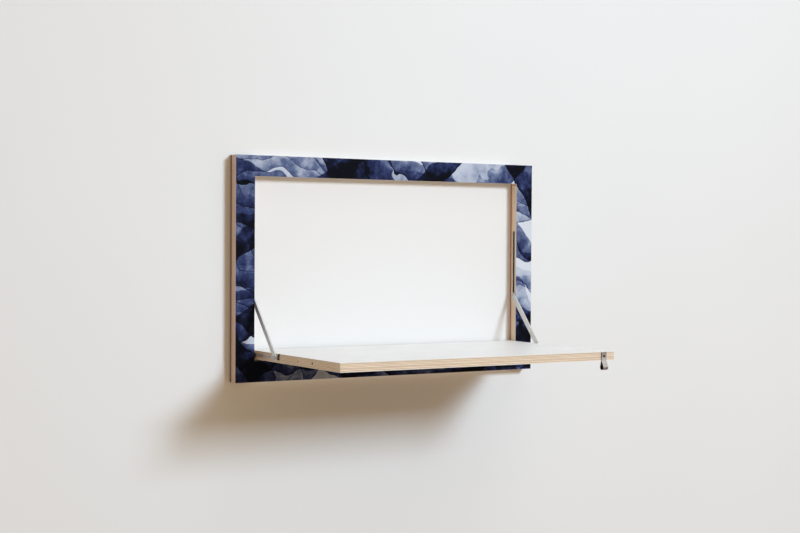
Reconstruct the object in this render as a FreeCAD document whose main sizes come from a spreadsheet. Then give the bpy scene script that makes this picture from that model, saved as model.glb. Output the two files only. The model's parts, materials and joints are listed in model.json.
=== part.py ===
import FreeCAD, Part
import math
import os
import Sketcher

# Fold-down wall desk: a plywood frame on the wall, and a leaf cut from the same board that folds down
# to a desk top on two steel stays. Millimetres. +X to the right, +Y into the wall, +Z up.
# The wall is the plane Y = 0, and the origin is the middle of the upper batten's back.
# The desk is drawn open: the leaf lies level, and each stay holds it from the foot of its guide rail.

doc = FreeCAD.newDocument("fold_down_wall_desk")

SIZES = {
    # frame and leaf, routed from one laminated board
    "frame_width": 800.0,
    "frame_height": 500.0,
    "border_width": 46.0,
    "core_thickness": 18.0,
    "sheet_thickness": 0.8,
    "sweep_clearance": 0.44,
    # battens that stand the frame off the wall
    "batten_thickness": 9.0,
    "batten_end_inset": 60.0,
    "batten_screw_inset": 20.0,
    # white panel behind the opening, let into the side battens; it has to clear the leaf's turning edge
    "panel_thickness": 4.0,
    "panel_lap": 10.0,
    # keyhole hangers in the upper batten
    "hanger_end_distance": 140.0,
    "hanger_width": 50.0,
    "hanger_height": 24.0,
    "hanger_thickness": 2.0,
    "hanger_margin": 3.0,
    "hanger_screw_inset": 8.0,
    "keyhole_entry_radius": 5.0,
    "keyhole_slot_radius": 2.5,
    "keyhole_entry_height": 8.5,
    "keyhole_travel": 9.0,
    "wall_screw_room": 5.0,
    "wall_screw_margin": 2.0,
    # stays, and where their pins lie from the leaf's pivot when the desk is open
    "stay_reach": 108.0,
    "stay_rise": 122.0,
    "stay_width": 12.0,
    "stay_thickness": 3.0,
    "stay_pin_radius": 2.5,
    "rivet_head_radius": 4.5,
    "rivet_head_height": 0.4,
    "layer_gap": 0.35,
    # guide rails and the shoes that run in them
    "rail_width": 8.0,
    "rail_depth": 10.0,
    "rail_wall": 1.0,
    "rail_screw_inset": 30.0,
    "shoe_length": 14.0,
    "shoe_clearance": 0.2,
    "slide_pin_radius": 1.6,
    "slide_pin_length": 6.0,
    # hinge arms let into the ends of the leaf
    "arm_width": 7.5,
    "arm_thickness": 4.0,
    "arm_recess": 1.0,
    "eye_wall": 3.2,
    "groove_clearance": 0.25,
    "groove_tail": 16.0,
    "notch_length": 10.0,
    # pivot at the foot of the frame
    "pivot_pin_radius": 3.0,
    "pivot_pin_reach": 18.0,
    "bush_wall": 2.0,
    "bush_flange_radius": 7.0,
    "bush_end_wall": 1.6,
    "pin_end_room": 0.4,
    "flange_clearance": 0.4,
    # small holes in the leaf's end edges
    "relief_depth": 3.0,
    "relief_clearance": 0.4,
    "dowel_distance": 207.0,
    "dowel_radius": 2.1,
    "dowel_depth": 4.0,
    # pull loop on the leaf's front edge, and the magnet that holds its plate
    "pull_end_distance": 29.5,
    "pull_width": 14.0,
    "pull_strip": 1.0,
    "pull_plate_margin": 1.2,
    "loop_drop": 21.0,
    "loop_radius": 5.8,
    "loop_lead": 2.6,
    "loop_straight": 1.5,
    "magnet_radius": 5.0,
    "magnet_height": 6.0,
    # screws
    "wood_screw_radius": 1.9,
    "wood_screw_head_radius": 3.6,
    "wood_screw_head_height": 2.5,
    "wood_screw_tip_margin": 5.3,
    "small_screw_radius": 1.4,
    "small_screw_length": 10.0,
    "small_screw_head_radius": 2.55,
    "small_screw_head_height": 1.0,
    "hanger_screw_tip_margin": 1.5,
    # fits
    "seat_clearance": 0.05,
    "running_clearance": 0.05,
    "overrun": 2.0,
}
ARM_SCREW_SHARES = (0.33, 0.68)
SOCKET_WIDTH_SHARE = 0.55
SOCKET_DEPTH_SHARE = 0.6

sheet = doc.addObject("Spreadsheet::Sheet", "sizes")
for row, (alias, size) in enumerate(SIZES.items(), start=1):
    sheet.set(f"A{row}", alias)
    sheet.set(f"B{row}", str(size))
    sheet.setAlias(f"B{row}", alias)
doc.recompute()


# Lengths that follow from the sheet, as expressions over its cells
BOARD = "(sizes.core_thickness + 2 * sizes.sheet_thickness)"
HALF_BOARD = f"({BOARD} / 2)"
OPENING_WIDTH = "(sizes.frame_width - 2 * sizes.border_width)"
OPENING_HEIGHT = "(sizes.frame_height - 2 * sizes.border_width)"
LAYER_CLEARANCE = "(sizes.rivet_head_height + sizes.layer_gap)"
SIDE_GAP = f"(sizes.stay_thickness + 2 * {LAYER_CLEARANCE})"
# the leaf's square hinge edge turns about its own middle, so its corners need this much room
END_GAP = f"((sqrt(2) - 1) * {HALF_BOARD} + sizes.sweep_clearance)"
LEAF_WIDTH = f"({OPENING_WIDTH} - 2 * {SIDE_GAP})"
LEAF_LENGTH = f"({OPENING_HEIGHT} - 2 * {END_GAP})"
PIVOT_FROM_FRONT = f"({LEAF_LENGTH} - {HALF_BOARD})"
STAY_LENGTH = "sqrt(sizes.stay_reach ^ 2 + sizes.stay_rise ^ 2)"
STAY_REST = f"(sizes.stay_reach + {STAY_LENGTH})"
SLIDE_TRAVEL = f"({STAY_REST} - sizes.stay_rise)"
RAIL_INNER_WIDTH = "(sizes.rail_width - 2 * sizes.rail_wall)"
SHOE_WIDTH = f"({RAIL_INNER_WIDTH} - 2 * sizes.shoe_clearance)"
RAIL_END_ROOM = "(sizes.shoe_length / 2 + sizes.shoe_clearance + sizes.rail_wall)"
RAIL_LENGTH = f"({SLIDE_TRAVEL} + 2 * {RAIL_END_ROOM})"
EYE_RADIUS = "(sizes.pivot_pin_radius + sizes.eye_wall)"
GROOVE_DEPTH = "(sizes.arm_thickness + sizes.arm_recess)"
GROOVE_HALF = "(sizes.arm_width / 2 + sizes.groove_clearance)"
BUSH_RADIUS = "(sizes.pivot_pin_radius + sizes.running_clearance + sizes.bush_wall)"
BUSH_DEPTH = "(sizes.pivot_pin_reach + sizes.pin_end_room + sizes.bush_end_wall)"
FLANGE_DEPTH = f"({SIDE_GAP} - sizes.flange_clearance)"
BATTEN_LENGTH = "(sizes.frame_width - 2 * sizes.batten_end_inset)"
BATTEN_HEIGHT = "(sizes.hanger_height + 2 * sizes.hanger_margin)"
PANEL_WIDTH = f"({OPENING_WIDTH} + 2 * sizes.panel_lap)"
PANEL_HEIGHT = f"(sizes.frame_height - sizes.border_width - {BATTEN_HEIGHT} - 2 * sizes.seat_clearance)"
PANEL_UP = f"((sizes.border_width + {BATTEN_HEIGHT}) / 2 + sizes.seat_clearance)"
PULL_PLATE_HEIGHT = f"({BOARD} - sizes.pull_plate_margin)"


def number(expression):
    """Value of an expression over the sheet's cells."""
    return float(sheet.evalExpression(expression))


# Places in the part's frame
X_AXIS = FreeCAD.Vector(1, 0, 0)
Y_AXIS = FreeCAD.Vector(0, 1, 0)
Z_AXIS = FreeCAD.Vector(0, 0, 1)
SIDES = {"left": -1, "right": 1}
frame_top = number("sizes.border_width / 2")
frame_bottom = frame_top - number("sizes.frame_height")
opening_bottom = frame_bottom + number("sizes.border_width")
opening_top = frame_top - number("sizes.border_width")
back_face = -number("sizes.batten_thickness")
core_back = back_face - number("sizes.sheet_thickness")
core_front = core_back - number("sizes.core_thickness")
front_face = core_front - number("sizes.sheet_thickness")
pivot_y = back_face - number(HALF_BOARD)
pivot_z = opening_bottom + number(END_GAP) + number(HALF_BOARD)
leaf_front = pivot_y - number(PIVOT_FROM_FRONT)
leaf_low = pivot_z - number(HALF_BOARD)
leaf_high = pivot_z + number(HALF_BOARD)
stile_face = number(OPENING_WIDTH) / 2
leaf_end = number(LEAF_WIDTH) / 2
pull_x = leaf_end - number("sizes.pull_end_distance")


# Helpers for sketches and features
def new_body(label, x, y, z, rotation=FreeCAD.Rotation()):
    """An empty body whose local origin lies at (x, y, z)."""
    body = doc.addObject("PartDesign::Body", label)
    body.Label = label
    body.Placement = FreeCAD.Placement(FreeCAD.Vector(x, y, z), rotation)
    return body


def sketch_on(body, role, offset=None):
    """A sketch on one of the body's origin planes, moved along the plane's normal."""
    sketch = body.newObject("Sketcher::SketchObject", body.Label + "_sketch")
    planes = [feature for feature in body.Origin.OriginFeatures if feature.Role == role]
    sketch.AttachmentSupport = [(planes[0], "")]
    sketch.MapMode = "FlatFace"
    if offset:
        sketch.setExpression("AttachmentOffset.Base.z", offset)
    return sketch


def dimension(sketch, kind, ends, expression):
    """A driving dimension bound to the sheet; a zero distance puts the point on the sketch axis."""
    size = number(expression)
    if size == 0:
        axis = {"DistanceX": -2, "DistanceY": -1}[kind]
        sketch.addConstraint(Sketcher.Constraint("PointOnObject", ends[-2], ends[-1], axis))
        return
    index = sketch.addConstraint(Sketcher.Constraint(kind, *ends, size))
    sketch.setExpression(f"Constraints[{index}]", expression)


def add_rectangle(sketch, left, low, width, height):
    """A rectangle from its lower left corner."""
    start = FreeCAD.Vector(number(left), number(low), 0)
    across = FreeCAD.Vector(number(width), 0, 0)
    up = FreeCAD.Vector(0, number(height), 0)
    corners = [start, start + across, start + across + up, start + up]
    first = sketch.GeometryCount
    for step in range(4):
        sketch.addGeometry(Part.LineSegment(corners[step], corners[(step + 1) % 4]), False)
    for step in range(4):
        after = first + (step + 1) % 4
        sketch.addConstraint(Sketcher.Constraint("Coincident", first + step, 2, after, 1))
        level = "Horizontal" if step % 2 == 0 else "Vertical"
        sketch.addConstraint(Sketcher.Constraint(level, first + step))
    dimension(sketch, "DistanceX", (first, 1, first, 2), width)
    dimension(sketch, "DistanceY", (first + 1, 1, first + 1, 2), height)
    dimension(sketch, "DistanceX", (-1, 1, first, 1), left)
    dimension(sketch, "DistanceY", (-1, 1, first, 1), low)


def add_circle(sketch, x, y, radius):
    """A circle about (x, y)."""
    centre = FreeCAD.Vector(number(x), number(y), 0)
    index = sketch.addGeometry(Part.Circle(centre, Z_AXIS, number(radius)), False)
    dimension(sketch, "Radius", (index,), radius)
    dimension(sketch, "DistanceX", (-1, 1, index, 3), x)
    dimension(sketch, "DistanceY", (-1, 1, index, 3), y)


def add_slot(sketch, x1, y1, x2, y2, radius):
    """A round-ended slot between two centres, the second further along X or along Y."""
    low = FreeCAD.Vector(number(x1), number(y1), 0)
    high = FreeCAD.Vector(number(x2), number(y2), 0)
    size = number(radius)
    turn = math.atan2(high.y - low.y, high.x - low.x)
    side = FreeCAD.Vector(math.sin(turn), -math.cos(turn), 0) * size
    first = sketch.GeometryCount
    quarter = math.pi / 2
    low_arc = Part.ArcOfCircle(Part.Circle(low, Z_AXIS, size), turn + quarter, turn + 3 * quarter)
    high_arc = Part.ArcOfCircle(Part.Circle(high, Z_AXIS, size), turn - quarter, turn + quarter)
    sketch.addGeometry(low_arc, False)
    sketch.addGeometry(Part.LineSegment(low + side, high + side), False)
    sketch.addGeometry(high_arc, False)
    sketch.addGeometry(Part.LineSegment(high - side, low - side), False)
    for step in range(4):
        after = first + (step + 1) % 4
        sketch.addConstraint(Sketcher.Constraint("Tangent", first + step, 2, after, 1))
    sketch.addConstraint(Sketcher.Constraint("Equal", first, first + 2))
    dimension(sketch, "Radius", (first,), radius)
    dimension(sketch, "DistanceX", (-1, 1, first, 3), x1)
    dimension(sketch, "DistanceY", (-1, 1, first, 3), y1)
    if abs(high.x - low.x) > abs(high.y - low.y):
        sketch.addConstraint(Sketcher.Constraint("Horizontal", first + 1))
        dimension(sketch, "DistanceX", (-1, 1, first + 2, 3), x2)
    else:
        sketch.addConstraint(Sketcher.Constraint("Vertical", first + 1))
        dimension(sketch, "DistanceY", (-1, 1, first + 2, 3), y2)


def pad(body, sketch, length, backward=False):
    """Thickens a sketch along its plane's normal, or against it."""
    feature = body.newObject("PartDesign::Pad", body.Label + "_pad")
    feature.Profile = sketch
    feature.setExpression("Length", length)
    feature.Reversed = backward
    doc.recompute()


def pocket(body, sketch, depth, forward=False):
    """Cuts a sketch against its plane's normal, or along it; the cut has to take material away."""
    before = body.Shape.Volume
    feature = body.newObject("PartDesign::Pocket", body.Label + "_pocket")
    feature.Profile = sketch
    feature.setExpression("Length", depth)
    feature.Reversed = forward
    doc.recompute()
    if not body.Shape.Volume < before:
        raise RuntimeError(f"a pocket in {body.Label} cuts nothing")


def cylinder(name, radius, height, place, direction):
    """A cylinder from place along direction."""
    item = doc.addObject("Part::Cylinder", name)
    item.Label = name
    item.setExpression("Radius", radius)
    item.setExpression("Height", height)
    item.Placement = FreeCAD.Placement(place, FreeCAD.Rotation(Z_AXIS, direction))
    return item


def fused(label, items):
    """One solid from touching or overlapping primitives."""
    whole = doc.addObject("Part::MultiFuse", label)
    whole.Shapes = items
    whole.Refine = True
    whole.Label = label
    return whole


def cut(label, base, tool):
    """The base without the tool."""
    rest = doc.addObject("Part::Cut", label)
    rest.Base = base
    rest.Tool = tool
    rest.Label = label
    return rest


def screws(label, kind, length, places, direction):
    """Socket-head screws as one group; each place is the middle of a head's outer face."""
    group = []
    head_radius = f"sizes.{kind}_head_radius"
    head_height = f"sizes.{kind}_head_height"
    for place in places:
        head = cylinder(label + "_head", head_radius, head_height, place, direction)
        seat = place + direction * number(head_height)
        shank = cylinder(label + "_shank", f"sizes.{kind}_radius", length, seat, direction)
        socket = doc.addObject("Part::Prism", label + "_socket")
        socket.Polygon = 6
        socket.setExpression("Circumradius", f"{head_radius} * {SOCKET_WIDTH_SHARE}")
        socket.setExpression("Height", f"{head_height} * {SOCKET_DEPTH_SHARE}")
        socket.Placement = FreeCAD.Placement(place, FreeCAD.Rotation(Z_AXIS, direction))
        group.append(cut(label + "_screw", fused(label + "_blank", [head, shank]), socket))
    if len(group) == 1:
        group[0].Label = label
        return
    whole = doc.addObject("Part::Compound", label)
    whole.Links = group
    whole.Label = label


# Places along a batten: the hangers, a screw near each end and one on the inner side of each hanger
HANGER_MIDDLES = {
    "left": "sizes.hanger_end_distance",
    "right": f"({BATTEN_LENGTH} - sizes.hanger_end_distance)",
}
END_SCREW = "sizes.batten_screw_inset"
INNER_SCREW = "(sizes.hanger_end_distance + sizes.hanger_width / 2 + sizes.batten_screw_inset)"
BATTEN_SCREW_XS = [END_SCREW, INNER_SCREW]
BATTEN_SCREW_XS += [f"({BATTEN_LENGTH} - {along})" for along in (INNER_SCREW, END_SCREW)]
BATTEN_MIDDLES = {
    "bottom_batten": "(sizes.border_width / 2)",
    "top_batten": "(sizes.frame_height - sizes.border_width / 2)",
}
WOOD_SCREW_HOLE = "(sizes.wood_screw_radius + sizes.seat_clearance)"
SMALL_SCREW_HOLE = "(sizes.small_screw_radius + sizes.seat_clearance)"
SMALL_HEAD_HOLE = "(sizes.small_screw_head_radius + sizes.seat_clearance)"
# a batten screw's tip ends inside the core, and a hanger screw's tip inside the batten
SCREW_IN_CORE = "(sizes.core_thickness - sizes.wood_screw_tip_margin)"
WOOD_SCREW_LENGTH = (f"({SCREW_IN_CORE} + sizes.sheet_thickness + sizes.batten_thickness"
                     " - sizes.wood_screw_head_height)")
HANGER_SCREW_LENGTH = ("(sizes.batten_thickness - sizes.small_screw_head_height"
                       " - sizes.hanger_screw_tip_margin)")


def add_batten_screw_circles(sketch):
    """The batten screws' holes, in the frame's own coordinates."""
    for middle in BATTEN_MIDDLES.values():
        for along in BATTEN_SCREW_XS:
            add_circle(sketch, f"sizes.batten_end_inset + {along}", middle, WOOD_SCREW_HOLE)


# Frame: one board with the leaf's opening routed out of it
PIVOT_UP = f"(sizes.border_width + {END_GAP} + {HALF_BOARD})"
CORE_MIDDLE = "(sizes.core_thickness / 2)"
RAIL_LOW = f"({PIVOT_UP} + sizes.stay_rise - {RAIL_END_ROOM})"
STILE_INNER = {"left": "sizes.border_width", "right": "(sizes.frame_width - sizes.border_width)"}


def frame_layer(label, y, thickness):
    """A layer of the frame's board, its local origin at its front lower left corner."""
    body = new_body(label, -number("sizes.frame_width") / 2, y, frame_bottom)
    outline = sketch_on(body, "XZ_Plane")
    add_rectangle(outline, "0", "0", "sizes.frame_width", "sizes.frame_height")
    add_rectangle(outline, "sizes.border_width", "sizes.border_width", OPENING_WIDTH, OPENING_HEIGHT)
    pad(body, outline, thickness, backward=True)
    return body


frame_core = frame_layer("frame_core", core_front, "sizes.core_thickness")
for side in SIDES:
    # the guide rail's slot and the pivot bush's hole in the stile's inner edge
    into_right = side == "right"
    slot = sketch_on(frame_core, "YZ_Plane", STILE_INNER[side])
    slot_radius = "(sizes.rail_width / 2 + sizes.seat_clearance)"
    rail_low_centre = f"({RAIL_LOW} + sizes.rail_width / 2)"
    rail_high_centre = f"({RAIL_LOW} + {RAIL_LENGTH} - sizes.rail_width / 2)"
    add_slot(slot, CORE_MIDDLE, rail_low_centre, CORE_MIDDLE, rail_high_centre, slot_radius)
    pocket(frame_core, slot, "sizes.rail_depth + sizes.seat_clearance", forward=into_right)
    rail_screw_hole = sketch_on(frame_core, "YZ_Plane", STILE_INNER[side])
    add_circle(rail_screw_hole, CORE_MIDDLE, f"{RAIL_LOW} + sizes.rail_screw_inset", SMALL_SCREW_HOLE)
    high_screw = f"{RAIL_LOW} + {RAIL_LENGTH} - sizes.rail_screw_inset"
    add_circle(rail_screw_hole, CORE_MIDDLE, high_screw, SMALL_SCREW_HOLE)
    rail_screw_depth = "sizes.rail_depth + sizes.small_screw_length + sizes.seat_clearance"
    pocket(frame_core, rail_screw_hole, rail_screw_depth, forward=into_right)
    bush_hole = sketch_on(frame_core, "YZ_Plane", STILE_INNER[side])
    add_circle(bush_hole, CORE_MIDDLE, PIVOT_UP, f"{BUSH_RADIUS} + sizes.seat_clearance")
    pocket(frame_core, bush_hole, f"{BUSH_DEPTH} + sizes.seat_clearance", forward=into_right)
magnet_hole = sketch_on(frame_core, "XY_Plane", "sizes.frame_height - sizes.border_width")
PULL_FROM_LEFT = f"(sizes.frame_width / 2 + {LEAF_WIDTH} / 2 - sizes.pull_end_distance)"
add_circle(magnet_hole, PULL_FROM_LEFT, CORE_MIDDLE, "sizes.magnet_radius + sizes.seat_clearance")
pocket(frame_core, magnet_hole, "sizes.magnet_height + sizes.seat_clearance", forward=True)
screw_holes = sketch_on(frame_core, "XZ_Plane", "-sizes.core_thickness")
add_batten_screw_circles(screw_holes)
pocket(frame_core, screw_holes, f"{SCREW_IN_CORE} + sizes.seat_clearance", forward=True)

frame_layer("frame_front_sheet", front_face, "sizes.sheet_thickness")
frame_back_sheet = frame_layer("frame_back_sheet", core_back, "sizes.sheet_thickness")
sheet_holes = sketch_on(frame_back_sheet, "XZ_Plane")
add_batten_screw_circles(sheet_holes)
pocket(frame_back_sheet, sheet_holes, "sizes.sheet_thickness + sizes.overrun")

# Battens: strips behind the rails, screwed on from the back, that stand the frame off the wall
HANGER_LEFT = {side: f"({middle} - sizes.hanger_width / 2)" for side, middle in HANGER_MIDDLES.items()}
HANGER_SCREW_XS = ("sizes.hanger_screw_inset", "(sizes.hanger_width - sizes.hanger_screw_inset)")
BATTEN_BACK = "-sizes.batten_thickness"
batten_screw_places = []
for label, middle in BATTEN_MIDDLES.items():
    batten_z = frame_bottom + number(middle)
    batten_low = batten_z - number(BATTEN_HEIGHT) / 2
    batten_left = -number(BATTEN_LENGTH) / 2
    batten = new_body(label, batten_left, back_face, batten_low)
    outline = sketch_on(batten, "XZ_Plane")
    add_rectangle(outline, "0", "0", BATTEN_LENGTH, BATTEN_HEIGHT)
    pad(batten, outline, "sizes.batten_thickness", backward=True)
    shanks = sketch_on(batten, "XZ_Plane")
    heads = sketch_on(batten, "XZ_Plane", BATTEN_BACK)
    for along in BATTEN_SCREW_XS:
        add_circle(shanks, along, f"{BATTEN_HEIGHT} / 2", WOOD_SCREW_HOLE)
        head_hole = "sizes.wood_screw_head_radius + sizes.seat_clearance"
        add_circle(heads, along, f"{BATTEN_HEIGHT} / 2", head_hole)
        batten_screw_places.append(FreeCAD.Vector(batten_left + number(along), 0, batten_z))
    pocket(batten, shanks, "sizes.batten_thickness + sizes.overrun")
    pocket(batten, heads, "sizes.wood_screw_head_height", forward=True)
    if label == "bottom_batten":
        continue
    # recesses for the hangers, with room behind each keyhole for the wall screw's head
    for left in HANGER_LEFT.values():
        recess = sketch_on(batten, "XZ_Plane", BATTEN_BACK)
        add_rectangle(recess, f"{left} - sizes.seat_clearance",
                      "sizes.hanger_margin - sizes.seat_clearance",
                      "sizes.hanger_width + 2 * sizes.seat_clearance",
                      "sizes.hanger_height + 2 * sizes.seat_clearance")
        pocket(batten, recess, "sizes.hanger_thickness", forward=True)
        room = sketch_on(batten, "XZ_Plane", BATTEN_BACK)
        entry_x = f"({left} + sizes.hanger_width / 2)"
        entry_z = "(sizes.hanger_margin + sizes.keyhole_entry_height)"
        add_slot(room, entry_x, entry_z, entry_x, f"({entry_z} + sizes.keyhole_travel)",
                 "sizes.keyhole_entry_radius + sizes.wall_screw_margin")
        pocket(batten, room, "sizes.hanger_thickness + sizes.wall_screw_room", forward=True)
        fixing = sketch_on(batten, "XZ_Plane", BATTEN_BACK)
        for along in HANGER_SCREW_XS:
            add_circle(fixing, f"{left} + {along}", f"{BATTEN_HEIGHT} / 2", SMALL_SCREW_HOLE)
        fixing_depth = f"sizes.small_screw_head_height + {HANGER_SCREW_LENGTH} + sizes.seat_clearance"
        pocket(batten, fixing, fixing_depth, forward=True)
screws("batten_screws", "wood_screw", WOOD_SCREW_LENGTH, batten_screw_places, -Y_AXIS)

# Side battens: strips glued behind the stiles, each with a rebate at its back for the panel's edge
STILE_LEFT = {"left": "0", "right": "(sizes.frame_width - sizes.border_width)"}
REBATE_WIDTH = "(sizes.panel_lap + sizes.seat_clearance)"
REBATE_LEFT = {"left": f"(sizes.border_width - {REBATE_WIDTH})", "right": "0"}
for side, left in STILE_LEFT.items():
    stile_left = -number("sizes.frame_width") / 2 + number(left)
    side_batten = new_body(f"side_batten_{side}", stile_left, back_face, frame_bottom)
    outline = sketch_on(side_batten, "XZ_Plane")
    add_rectangle(outline, "0", "0", "sizes.border_width", "sizes.frame_height")
    pad(side_batten, outline, "sizes.batten_thickness", backward=True)
    rebate = sketch_on(side_batten, "XZ_Plane", BATTEN_BACK)
    add_rectangle(rebate, REBATE_LEFT[side], f"{PANEL_UP} - sizes.seat_clearance", REBATE_WIDTH,
                  f"{PANEL_HEIGHT} + 2 * sizes.seat_clearance")
    pocket(side_batten, rebate, "sizes.panel_thickness", forward=True)

# Back panel: a white sheet in the side battens' rebates, flush with their backs
panel_low = frame_bottom + number(PANEL_UP)
back_panel = new_body("back_panel", -number(PANEL_WIDTH) / 2, -number("sizes.panel_thickness"), panel_low)
outline = sketch_on(back_panel, "XZ_Plane")
add_rectangle(outline, "0", "0", PANEL_WIDTH, PANEL_HEIGHT)
pad(back_panel, outline, "sizes.panel_thickness", backward=True)

# Hangers: keyhole plates let in flush with the upper batten's back
hanger_screw_places = []
for side, left in HANGER_LEFT.items():
    hanger_x = -number(BATTEN_LENGTH) / 2 + number(left)
    hanger_low = -number("sizes.hanger_height / 2")
    hanger = new_body(f"hanger_plate_{side}", hanger_x, -number("sizes.hanger_thickness"), hanger_low)
    outline = sketch_on(hanger, "XZ_Plane")
    add_rectangle(outline, "0", "0", "sizes.hanger_width", "sizes.hanger_height")
    pad(hanger, outline, "sizes.hanger_thickness", backward=True)
    entry = sketch_on(hanger, "XZ_Plane")
    add_circle(entry, "sizes.hanger_width / 2", "sizes.keyhole_entry_height", "sizes.keyhole_entry_radius")
    pocket(hanger, entry, "sizes.hanger_thickness + sizes.overrun")
    neck = sketch_on(hanger, "XZ_Plane")
    neck_x = "(sizes.hanger_width / 2)"
    neck_high = "(sizes.keyhole_entry_height + sizes.keyhole_travel)"
    add_slot(neck, neck_x, "sizes.keyhole_entry_height", neck_x, neck_high, "sizes.keyhole_slot_radius")
    pocket(hanger, neck, "sizes.hanger_thickness + sizes.overrun")
    shanks = sketch_on(hanger, "XZ_Plane")
    heads = sketch_on(hanger, "XZ_Plane", "-sizes.hanger_thickness")
    for along in HANGER_SCREW_XS:
        add_circle(shanks, along, "sizes.hanger_height / 2", SMALL_SCREW_HOLE)
        add_circle(heads, along, "sizes.hanger_height / 2", SMALL_HEAD_HOLE)
        hanger_screw_places.append(FreeCAD.Vector(hanger_x + number(along), 0, 0))
    pocket(hanger, shanks, "sizes.hanger_thickness + sizes.overrun")
    pocket(hanger, heads, "sizes.small_screw_head_height", forward=True)
screws("hanger_screws", "small_screw", HANGER_SCREW_LENGTH, hanger_screw_places, -Y_AXIS)

# Guide rails: pressed steel trays in the stiles' slots, open towards the leaf
rail_low = frame_bottom + number(RAIL_LOW)
for side, sign in SIDES.items():
    rail_back = sign * (stile_face + number("sizes.rail_depth"))
    rail_y = pivot_y - number("sizes.rail_width / 2")
    rail = new_body(f"guide_rail_{side}", rail_back, rail_y, rail_low)
    to_left = side == "right"
    middle = "(sizes.rail_width / 2)"
    outline = sketch_on(rail, "YZ_Plane")
    add_slot(outline, middle, middle, middle, f"({RAIL_LENGTH} - {middle})", middle)
    pad(rail, outline, "sizes.rail_depth", backward=to_left)
    channel = sketch_on(rail, "YZ_Plane", f"{-sign} * sizes.rail_depth")
    add_slot(channel, middle, middle, middle, f"({RAIL_LENGTH} - {middle})",
             f"({middle} - sizes.rail_wall)")
    pocket(rail, channel, "sizes.rail_depth - sizes.rail_wall", forward=to_left)
    holes = sketch_on(rail, "YZ_Plane")
    floor = rail_back - sign * number("sizes.rail_wall")
    places = []
    for along in ("sizes.rail_screw_inset", f"({RAIL_LENGTH} - sizes.rail_screw_inset)"):
        add_circle(holes, middle, along, SMALL_HEAD_HOLE)
        places.append(FreeCAD.Vector(floor, pivot_y, rail_low + number(along)))
    pocket(rail, holes, "sizes.rail_wall + sizes.overrun", forward=not to_left)
    screws(f"guide_rail_screws_{side}", "small_screw", "sizes.small_screw_length", places, X_AXIS * sign)

# Slide shoes: plastic blocks in the rails, at the foot of their travel while the desk is open.
# Each carries the half of the stay's upper pin that lies in the rail, flush with the shoe's face.
SHOE_DEPTH = ("(sizes.rail_depth - sizes.rail_wall - sizes.shoe_clearance"
              f" + {LAYER_CLEARANCE} - sizes.layer_gap)")
shoe_middle_z = pivot_z + number("sizes.stay_rise")
for side, sign in SIDES.items():
    shoe_face = sign * (stile_face - number(LAYER_CLEARANCE) + number("sizes.layer_gap"))
    shoe_back = shoe_face + sign * number(SHOE_DEPTH)
    shoe_y = pivot_y - number(SHOE_WIDTH) / 2
    shoe_low = shoe_middle_z - number("sizes.shoe_length / 2")
    shoe = new_body(f"slide_shoe_{side}", shoe_back, shoe_y, shoe_low)
    to_left = side == "right"
    middle = f"({SHOE_WIDTH} / 2)"
    outline = sketch_on(shoe, "YZ_Plane")
    add_slot(outline, middle, middle, middle, f"(sizes.shoe_length - {middle})", middle)
    pad(shoe, outline, SHOE_DEPTH, backward=to_left)
    bore = sketch_on(shoe, "YZ_Plane", f"{-sign} * {SHOE_DEPTH}")
    add_circle(bore, middle, "sizes.shoe_length / 2", "sizes.slide_pin_radius + sizes.seat_clearance")
    pocket(shoe, bore, "sizes.slide_pin_length", forward=to_left)
    pin_place = FreeCAD.Vector(shoe_face, pivot_y, shoe_middle_z)
    pin = f"slide_pin_{side}"
    cylinder(pin, "sizes.slide_pin_radius", "sizes.slide_pin_length", pin_place, X_AXIS * sign)

# Pivot bushes: flanged plastic sleeves in the stiles; the flange fills the gap beside the leaf
for side, sign in SIDES.items():
    label = f"pivot_bush_{side}"
    outward = X_AXIS * sign
    face = FreeCAD.Vector(sign * stile_face, pivot_y, pivot_z)
    mouth = face - outward * number(FLANGE_DEPTH)
    sleeve = cylinder(label + "_sleeve", BUSH_RADIUS, BUSH_DEPTH, face, outward)
    flange = cylinder(label + "_flange", "sizes.bush_flange_radius", FLANGE_DEPTH, mouth, outward)
    bore_radius = "sizes.pivot_pin_radius + sizes.running_clearance"
    bore_depth = f"{FLANGE_DEPTH} + sizes.pivot_pin_reach + sizes.pin_end_room"
    bore = cylinder(label + "_bore", bore_radius, bore_depth, mouth, outward)
    cut(label, fused(label + "_blank", [sleeve, flange]), bore)

# Catch magnet in the top rail's inner edge, over the pull loop's plate when the leaf is shut
magnet_place = FreeCAD.Vector(pull_x, pivot_y, opening_top)
cylinder("catch_magnet", "sizes.magnet_radius", "sizes.magnet_height", magnet_place, Z_AXIS)


# Leaf: the board cut from the opening; local origin at its front lower left corner
def along_leaf(distance):
    """How far behind the leaf's front edge a point lies that is this far from the pivot."""
    return f"({PIVOT_FROM_FRONT} - {distance})"


def leaf_layer(label, z, thickness):
    """A layer of the leaf's board."""
    body = new_body(label, -leaf_end, leaf_front, z)
    outline = sketch_on(body, "XY_Plane")
    add_rectangle(outline, "0", "0", LEAF_WIDTH, LEAF_LENGTH)
    pad(body, outline, thickness)
    return body


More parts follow.
